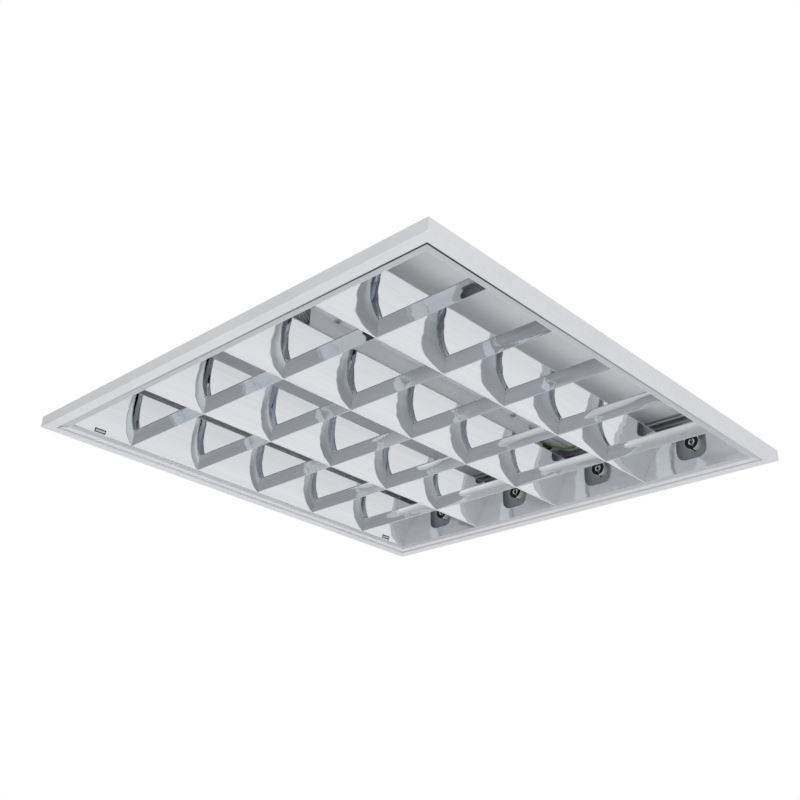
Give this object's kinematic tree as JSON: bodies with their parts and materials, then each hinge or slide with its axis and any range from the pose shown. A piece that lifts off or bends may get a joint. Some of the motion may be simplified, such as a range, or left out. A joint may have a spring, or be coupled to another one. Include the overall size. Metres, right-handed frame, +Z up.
{
  "type": "recessed troffer light",
  "caption": "Square recessed ceiling light for a grid ceiling, with mirrored V reflectors and cross blades in a louvre that hinges down from a shallow housing.",
  "frame": {"origin": "centre of the plane of the rim's visible face", "axes": "+Z up into the ceiling void, +Y along the lamps towards the mains terminal, +X towards the louvre's hinge"},
  "size_m": [0.595, 0.595, 0.0872],
  "materials": {
    "white_steel": "white powder coat, semi-matt",
    "mirror_aluminium": "bright anodised aluminium mirror sheet",
    "satin_aluminium": "satin anodised",
    "zinc_steel": "zinc plated",
    "white_plastic": "moulded",
    "circuit_board": "lacquered board",
    "black_rubber": "soft",
    "tinned_copper": "tinned",
    "earth_insulation": "green with yellow stripes",
    "mains_insulation": "brown and blue",
    "white_insulation": "plain",
    "black_plastic": "moulded",
    "blue_plastic": "moulded",
    "green_plastic": "moulded"
  },
  "bodies": {
    "housing": {"housing_tray": "white_steel", "housing_end_front": "white_steel", "housing_end_back": "white_steel", "lampholder_rail_front": "zinc_steel", "lampholder_rail_back": "zinc_steel", "lampholder_front_1": "white_plastic", "lampholder_front_2": "white_plastic", "lampholder_front_3": "white_plastic", "lampholder_front_4": "white_plastic", "lampholder_back_1": "white_plastic", "lampholder_back_2": "white_plastic", "lampholder_back_3": "white_plastic", "lampholder_back_4": "white_plastic", "ballast_base": "zinc_steel", "ballast_cover": "zinc_steel", "ballast_board": "circuit_board", "ballast_terminals": "white_plastic", "gear_cover": "white_steel", "gear_cover_screws": "zinc_steel", "terminal_block": "white_plastic", "cable_grommet": "black_rubber", "earth_screw": "zinc_steel", "earth_lug": "tinned_copper", "earth_wire": "earth_insulation", "mains_wires": "mains_insulation", "lamp_wires_front": "white_insulation", "lamp_wires_back": "white_insulation", "hinge_brackets": "zinc_steel"},
    "louvre": {"louvre_rail_left": "satin_aluminium", "louvre_rail_right": "satin_aluminium", "louvre_rail_front": "satin_aluminium", "louvre_rail_back": "satin_aluminium", "side_reflector_left": "mirror_aluminium", "side_reflector_right": "mirror_aluminium", "louvre_end_plate_front": "mirror_aluminium", "louvre_end_plate_back": "mirror_aluminium", "v_reflector_left": "mirror_aluminium", "v_reflector_middle": "mirror_aluminium", "v_reflector_right": "mirror_aluminium", "cross_blades_1": "mirror_aluminium", "cross_blades_2": "mirror_aluminium", "cross_blades_3": "mirror_aluminium", "cross_blades_4": "mirror_aluminium", "cross_blades_5": "mirror_aluminium", "latch_guides": "zinc_steel", "latch_spring_front": "zinc_steel", "latch_spring_back": "zinc_steel"},
    "latch_front": {"latch_front": "zinc_steel"},
    "latch_back": {"latch_back": "zinc_steel"},
    "lampholder_rotor_front_1": {"lampholder_rotor_front_1": "white_plastic"},
    "lampholder_rotor_front_2": {"lampholder_rotor_front_2": "white_plastic"},
    "lampholder_rotor_front_3": {"lampholder_rotor_front_3": "white_plastic"},
    "lampholder_rotor_front_4": {"lampholder_rotor_front_4": "white_plastic"},
    "lampholder_rotor_back_1": {"lampholder_rotor_back_1": "white_plastic"},
    "lampholder_rotor_back_2": {"lampholder_rotor_back_2": "white_plastic"},
    "lampholder_rotor_back_3": {"lampholder_rotor_back_3": "white_plastic"},
    "lampholder_rotor_back_4": {"lampholder_rotor_back_4": "white_plastic"},
    "terminal_button_line": {"terminal_button_line": "black_plastic"},
    "terminal_button_neutral": {"terminal_button_neutral": "blue_plastic"},
    "terminal_button_earth": {"terminal_button_earth": "green_plastic"}
  },
  "joints": [
    {"name": "louvre_hinge", "type": "hinge", "parent": "housing", "child": "louvre", "pos_m": [0.278, 0, 0.0046], "axis": [0, -1, 0], "range_deg": [0, 90]},
    {"name": "latch_slide_front", "type": "slide", "parent": "louvre", "child": "latch_front", "axis": [1, 0, 0], "range_m": [0, 0.003], "stiffness_N_per_m": 400, "springref_m": -0.003, "deforming": ["latch_spring_front"]},
    {"name": "latch_slide_back", "type": "slide", "parent": "louvre", "child": "latch_back", "axis": [1, 0, 0], "range_m": [0, 0.003], "stiffness_N_per_m": 400, "springref_m": -0.003, "deforming": ["latch_spring_back"]},
    {"name": "rotor_turn_front_1", "type": "hinge", "parent": "housing", "child": "lampholder_rotor_front_1", "pos_m": [-0.2016, -0.2796, 0.043], "axis": [0, 1, 0], "range_deg": [0, 90]},
    {"name": "rotor_turn_front_2", "type": "hinge", "parent": "housing", "child": "lampholder_rotor_front_2", "pos_m": [-0.0672, -0.2796, 0.043], "axis": [0, 1, 0], "range_deg": [0, 90]},
    {"name": "rotor_turn_front_3", "type": "hinge", "parent": "housing", "child": "lampholder_rotor_front_3", "pos_m": [0.0672, -0.2796, 0.043], "axis": [0, 1, 0], "range_deg": [0, 90]},
    {"name": "rotor_turn_front_4", "type": "hinge", "parent": "housing", "child": "lampholder_rotor_front_4", "pos_m": [0.2016, -0.2796, 0.043], "axis": [0, 1, 0], "range_deg": [0, 90]},
    {"name": "rotor_turn_back_1", "type": "hinge", "parent": "housing", "child": "lampholder_rotor_back_1", "pos_m": [-0.2016, 0.2796, 0.043], "axis": [0, 1, 0], "range_deg": [0, 90]},
    {"name": "rotor_turn_back_2", "type": "hinge", "parent": "housing", "child": "lampholder_rotor_back_2", "pos_m": [-0.0672, 0.2796, 0.043], "axis": [0, 1, 0], "range_deg": [0, 90]},
    {"name": "rotor_turn_back_3", "type": "hinge", "parent": "housing", "child": "lampholder_rotor_back_3", "pos_m": [0.0672, 0.2796, 0.043], "axis": [0, 1, 0], "range_deg": [0, 90]},
    {"name": "rotor_turn_back_4", "type": "hinge", "parent": "housing", "child": "lampholder_rotor_back_4", "pos_m": [0.2016, 0.2796, 0.043], "axis": [0, 1, 0], "range_deg": [0, 90]},
    {"name": "button_press_line", "type": "slide", "parent": "housing", "child": "terminal_button_line", "axis": [0, 0, 1], "range_m": [0, 0.0012], "stiffness_N_per_m": 900, "springref_m": -0.002},
    {"name": "button_press_neutral", "type": "slide", "parent": "housing", "child": "terminal_button_neutral", "axis": [0, 0, 1], "range_m": [0, 0.0012], "stiffness_N_per_m": 900, "springref_m": -0.002},
    {"name": "button_press_earth", "type": "slide", "parent": "housing", "child": "terminal_button_earth", "axis": [0, 0, 1], "range_m": [0, 0.0012], "stiffness_N_per_m": 900, "springref_m": -0.002}
  ]
}
